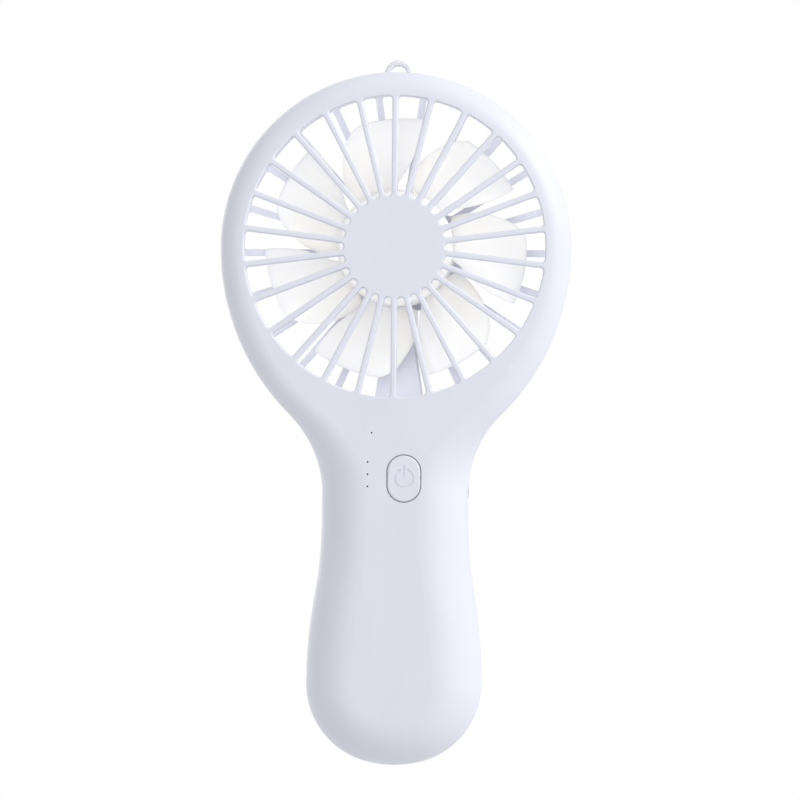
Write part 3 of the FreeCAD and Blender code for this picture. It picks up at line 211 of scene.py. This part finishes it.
def winding():
    """Enamelled copper wire laid side by side."""
    look = Nodes("coil_windings")
    turns = look.bands(0.32 * MM, "Z", 0.6)
    tone = look.noise(0.8 * MM, 2.0)
    look.colour(look.mix(look.spread(tone, 0, 1), (0.62, 0.22, 0.08), (0.42, 0.12, 0.04)))
    look.rough(look.spread(tone, 0.22, 0.36))
    look.bump((turns, 0.14 * MM))
    return look.set(Metallic=0.9, Coat_Weight=0.6, Coat_Roughness=0.15).material


def circuit_board():
    """Solder mask with traces showing faintly as raised, lighter runs."""
    look = Nodes("circuit_board")
    traces = look.cells(2.6 * MM, "DISTANCE_TO_EDGE", (1, 4, 1))
    weave = look.noise(0.4 * MM, 2.0)
    on_trace = look.spread(traces, 1, 0, 0.10, 0.13)
    look.colour(look.mix(on_trace, (0.012, 0.115, 0.05), (0.03, 0.22, 0.09)))
    look.rough(look.spread(weave, 0.24, 0.36))
    look.bump((on_trace, 0.03 * MM), (weave, 0.008 * MM))
    return look.set(Coat_Weight=0.4, Coat_Roughness=0.12).material


def shrink_sleeve():
    """Plain shrink sleeve, faintly wrinkled round the cell."""
    look = Nodes("cell_sleeve")
    folds = look.noise(2.2 * MM, 3.0, 0.55, (1, 1, 0.3))
    tone = look.noise(9 * MM, 2.0)
    look.colour(look.mix(look.spread(tone, 0, 1), (0.06, 0.20, 0.48), (0.045, 0.16, 0.40)))
    look.rough(look.spread(folds, 0.22, 0.34))
    look.bump((folds, 0.05 * MM))
    return look.set(Coat_Weight=0.3, Coat_Roughness=0.1).material


def foam():
    """Dark open-cell foam."""
    look = Nodes("cell_foam")
    pores = look.cells(0.45 * MM)
    tone = look.noise(1.5 * MM, 3.0)
    look.colour(look.mix(look.spread(tone, 0, 1), (0.07, 0.07, 0.075), (0.045, 0.045, 0.05)))
    look.rough(look.spread(pores, 0.95, 0.8, 0.1, 0.6))
    look.bump((pores, 0.12 * MM))
    return look.material


def insulation(name, colour):
    """Soft wire insulation, a little wavy along its length."""
    look = Nodes(name)
    waves = look.noise(1.8 * MM, 2.0)
    look.colour(look.mix(look.spread(waves, 0, 1), colour, tint(colour, 0.8)))
    look.rough(look.spread(waves, 0.32, 0.44))
    look.bump((look.noise(0.3 * MM), 0.008 * MM), (waves, 0.03 * MM))
    return look.material


def lamp_lens():
    """Milky, slightly cloudy lens of a small lamp."""
    look = Nodes("led_lens")
    cloud = look.noise(0.5 * MM, 2.0)
    look.colour(look.mix(look.spread(cloud, 0, 1), (0.84, 0.86, 0.84), (0.66, 0.70, 0.64)))
    look.rough(look.spread(cloud, 0.12, 0.25))
    look.bump((cloud, 0.01 * MM))
    return look.set(Subsurface_Weight=0.3, Subsurface_Scale=0.4 * MM).material


shell = moulded("shell_plastic", SHELL_WHITE, 0.42, IOR=1.5)
button = moulded("button_plastic", tint(SHELL_WHITE, 1.01), 0.38, grain=0.3 * MM, depth=0.008 * MM)
blades = moulded("blade_plastic", BLADE_CREAM, 0.36, depth=0.008 * MM, shift=0.985,
                 Subsurface_Weight=1.0, Subsurface_Radius=(1.0, 0.95, 0.85),
                 Subsurface_Scale=2.0 * MM)
loop_plastic = moulded("loop_plastic", (0.80, 0.81, 0.84), 0.30, depth=0.006 * MM,
                       Subsurface_Weight=0.8, Subsurface_Radius=(1.0, 1.0, 1.0),
                       Subsurface_Scale=1.2 * MM)
black_nylon = moulded("black_nylon", (0.018, 0.018, 0.02), 0.5, shift=0.8)
black_moulding = moulded("black_moulding", (0.022, 0.022, 0.024), 0.42, shift=0.8)
chip_epoxy = moulded("chip_epoxy", (0.025, 0.025, 0.027), 0.55, grain=0.12 * MM, shift=0.7)
plunger_plastic = moulded("plunger_plastic", (0.70, 0.67, 0.60), 0.45)
ferrite = moulded("magnet_ferrite", (0.035, 0.035, 0.038), 0.62, grain=0.15 * MM,
                  depth=0.03 * MM, shift=0.75)
carbon = moulded("brush_carbon", (0.02, 0.02, 0.021), 0.5, grain=0.08 * MM, shift=0.7)
screw_steel = metal("screw_steel", (0.56, 0.55, 0.53), 0.30)
zinc = metal("can_zinc", (0.66, 0.67, 0.68), 0.34, (4, 0.6, 4))
bronze = metal("bush_bronze", (0.52, 0.32, 0.15), 0.45)
ground_steel = metal("shaft_steel", (0.70, 0.70, 0.71), 0.16, (4, 0.4, 4))
brass = metal("terminal_brass", (0.72, 0.55, 0.24), 0.30)
copper = metal("commutator_copper", (0.75, 0.36, 0.20), 0.28, (4, 0.3, 4))
nickel = metal("bright_nickel", (0.70, 0.69, 0.66), 0.26, (1, 3, 1))
dull_nickel = metal("dull_nickel", (0.30, 0.30, 0.32), 0.34, (1, 3, 1))

FINISHES = {
    "front_shell": shell, "rear_shell": shell, "wire_cover": shell, "lanyard_loop": loop_plastic,
    "case_screws": screw_steel, "motor_can": zinc, "motor_end_cap": black_nylon,
    "front_bush": bronze, "rear_bush": bronze, "motor_shaft": ground_steel,
    "motor_magnets": ferrite, "motor_brushes": carbon, "motor_terminals": brass,
    "rotor_core": laminations(), "rotor_coils": winding(), "commutator": copper,
    "impeller": blades, "power_button": button, "switch_body": black_moulding,
    "switch_plunger": plunger_plastic, "main_board": circuit_board(), "board_parts": chip_epoxy,
    "status_leds": lamp_lens(), "board_screws": screw_steel, "charge_socket": dull_nickel,
    "charge_tongue": black_moulding, "board_link": brass, "battery_cell": shrink_sleeve(),
    "battery_terminal": nickel, "battery_tabs": nickel, "battery_foam": foam(),
    "motor_wire_red": insulation("insulation_red", (0.50, 0.03, 0.025)),
    "motor_wire_black": insulation("insulation_black", (0.02, 0.02, 0.02)),
}
FINISHES["charge_board"] = FINISHES["main_board"]
FINISHES["battery_wire_red"] = FINISHES["motor_wire_red"]
FINISHES["battery_wire_black"] = FINISHES["motor_wire_black"]

for name, node in nodes.items():
    node.data.materials.clear()
    node.data.materials.append(FINISHES[name])


# ======================================================================================
# Dust skirt round the power button
# ======================================================================================
def stadium_ring(half_width, half_height, steps=24):
    """Corners (x, z) of an upright round-ended outline about the origin, anticlockwise."""
    straight = half_height - half_width
    ring = []
    for end, first in ((straight, 0), (-straight, math.pi)):
        for i in range(steps + 1):
            angle = first + math.pi * i / steps
            ring.append((half_width * math.cos(angle), end + half_width * math.sin(angle)))
    return ring


def button_skirt():
    """Thin soft skirt that closes most of the gap between the button's cap and the wall."""
    cap_half_width, cap_half_height, gap = 4.6 * MM, 6.45 * MM, 0.3 * MM
    clearance, below_face, depth = 0.02 * MM, 0.55 * MM, 0.4 * MM
    low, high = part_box("power_button")
    centre = (low + high) / 2
    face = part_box("front_shell")[0].y
    corners, faces = [], []
    for grown, y in ((clearance, face + below_face), (gap - clearance, face + below_face),
                     (gap - clearance, face + below_face + depth),
                     (clearance, face + below_face + depth)):
        corners += [(centre.x + x, y, centre.z + z)
                    for x, z in stadium_ring(cap_half_width + grown, cap_half_height + grown)]
    count = len(corners) // 4
    for side in range(4):
        for i in range(count):
            j = (i + 1) % count
            here, there = side * count, (side + 1) % 4 * count
            faces.append((here + i, here + j, there + j, there + i))
    mesh = bpy.data.meshes.new("button_skirt")
    mesh.from_pydata(corners, [], faces)
    mesh.update()
    mesh.materials.append(moulded("skirt_rubber", (0.46, 0.46, 0.49), 0.6, grain=0.2 * MM))
    piece = bpy.data.objects.new("button_skirt", mesh)
    bpy.context.scene.collection.objects.link(piece)
    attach(piece, "casing")


button_skirt()


# ======================================================================================
# Stage: floor, light and camera
# ======================================================================================
def floor():
    """Pale round floor below the fan that fades to the white of the surroundings."""
    drop, radius = 65 * MM, 3.0
    fade_start, fade_end = 0.10, 0.32
    paper_white = (0.93, 0.93, 0.93, 1)
    bpy.ops.mesh.primitive_circle_add(vertices=96, radius=radius, fill_type="NGON",
                                      location=(0, 0, cad_bounds[0].z - drop))
    disc = bpy.context.object
    disc.name = "floor"
    material = bpy.data.materials.new("floor")
    material.use_nodes = True
    tree = material.node_tree
    tree.nodes.clear()
    coords = tree.nodes.new("ShaderNodeTexCoord")
    length = tree.nodes.new("ShaderNodeVectorMath")
    length.operation = "LENGTH"
    fade = tree.nodes.new("ShaderNodeMapRange")
    fade.interpolation_type = "SMOOTHSTEP"
    fade.inputs["From Min"].default_value = fade_start
    fade.inputs["From Max"].default_value = fade_end
    paper = tree.nodes.new("ShaderNodeBsdfDiffuse")
    paper.inputs["Color"].default_value = paper_white
    glow = tree.nodes.new("ShaderNodeEmission")
    glow.inputs["Color"].default_value = (1, 1, 1, 1)
    mix = tree.nodes.new("ShaderNodeMixShader")
    output = tree.nodes.new("ShaderNodeOutputMaterial")
    for source, target in ((coords.outputs["Object"], length.inputs[0]),
                           (length.outputs["Value"], fade.inputs["Value"]),
                           (fade.outputs["Result"], mix.inputs["Fac"]),
                           (paper.outputs["BSDF"], mix.inputs[1]),
                           (glow.outputs["Emission"], mix.inputs[2]),
                           (mix.outputs["Shader"], output.inputs["Surface"])):
        tree.links.new(source, target)
    disc.data.materials.append(material)
    disc.visible_diffuse = False


def surroundings():
    """White room: full white where it is seen; as a light, brighter behind and to the right."""
    brighter_towards, light_level = (0.06, 0.08, 0), 0.76
    world = bpy.data.worlds.new("white_room")
    bpy.context.scene.world = world
    world.use_nodes = True
    tree = world.node_tree
    background = tree.nodes["Background"]
    background.inputs["Color"].default_value = (1, 1, 1, 1)
    coords = tree.nodes.new("ShaderNodeTexCoord")
    slope = tree.nodes.new("ShaderNodeVectorMath")
    slope.operation = "DOT_PRODUCT"
    slope.inputs[1].default_value = brighter_towards
    level = tree.nodes.new("ShaderNodeMath")
    level.inputs[1].default_value = light_level
    seen = tree.nodes.new("ShaderNodeLightPath")
    strength = tree.nodes.new("ShaderNodeMapRange")
    strength.inputs["To Max"].default_value = 1.0
    for source, target in ((coords.outputs["Generated"], slope.inputs[0]),
                           (slope.outputs["Value"], level.inputs[0]),
                           (level.outputs["Value"], strength.inputs["To Min"]),
                           (seen.outputs["Is Camera Ray"], strength.inputs["Value"]),
                           (strength.outputs["Result"], background.inputs["Strength"])):
        tree.links.new(source, target)


def softbox(name, place, aim, size, watts):
    """Round area lamp that the camera doesn't see."""
    data = bpy.data.lights.new(name, "AREA")
    data.shape = "DISK"
    data.size = size
    data.energy = watts
    lamp = bpy.data.objects.new(name, data)
    lamp.location = place
    lamp.rotation_euler = (Vector(aim) - Vector(place)).to_track_quat("-Z", "Y").to_euler()
    lamp.visible_camera = False
    bpy.context.scene.collection.objects.link(lamp)
    return lamp


def duct_fill():
    """Light on the inside of the air duct only, for the backdrop's glow through thin plastic."""
    lamp = softbox("duct_fill", place=(0, -1.05, 0.12), aim=(0, 0, 0.1), size=0.8, watts=5.5)
    lamp.data.color = (1.0, 0.985, 0.93)
    blades = bpy.data.collections.new("blades")
    blades.objects.link(nodes["impeller"])
    inside = bpy.data.collections.new("duct_inside")
    for name in ("impeller", "rear_shell", "wire_cover"):
        inside.objects.link(nodes[name])
    lamp.light_linking.receiver_collection = inside
    lamp.light_linking.blocker_collection = blades


def camera():
    """Level view of the front from a little to the right, rolled slightly."""
    distance, turn, roll = 0.730, math.radians(3.0), math.radians(0.4)
    frame_width = 0.2278
    aim = Vector((0.00105, 0, 0.0573))
    data = bpy.data.cameras.new("camera")
    data.sensor_width = 36.0
    data.lens = data.sensor_width * distance / frame_width
    viewer = bpy.data.objects.new("camera", data)
    viewer.location = aim + distance * Vector((math.sin(turn), -math.cos(turn), 0))
    look = (aim - viewer.location).to_track_quat("-Z", "Y")
    viewer.rotation_euler = (look @ Quaternion((0, 0, 1), roll)).to_euler()
    bpy.context.scene.collection.objects.link(viewer)
    bpy.context.scene.camera = viewer


floor()
surroundings()
softbox("key", place=(0.72, -0.50, 0.55), aim=(0, 0, 0.06), size=0.7, watts=5.0)
softbox("backdrop", place=(-0.5, 0.9, 0.35), aim=(0, 0, 0.09), size=0.9, watts=2.0)
duct_fill()
camera()
bpy.context.scene.view_settings.view_transform = "Standard"
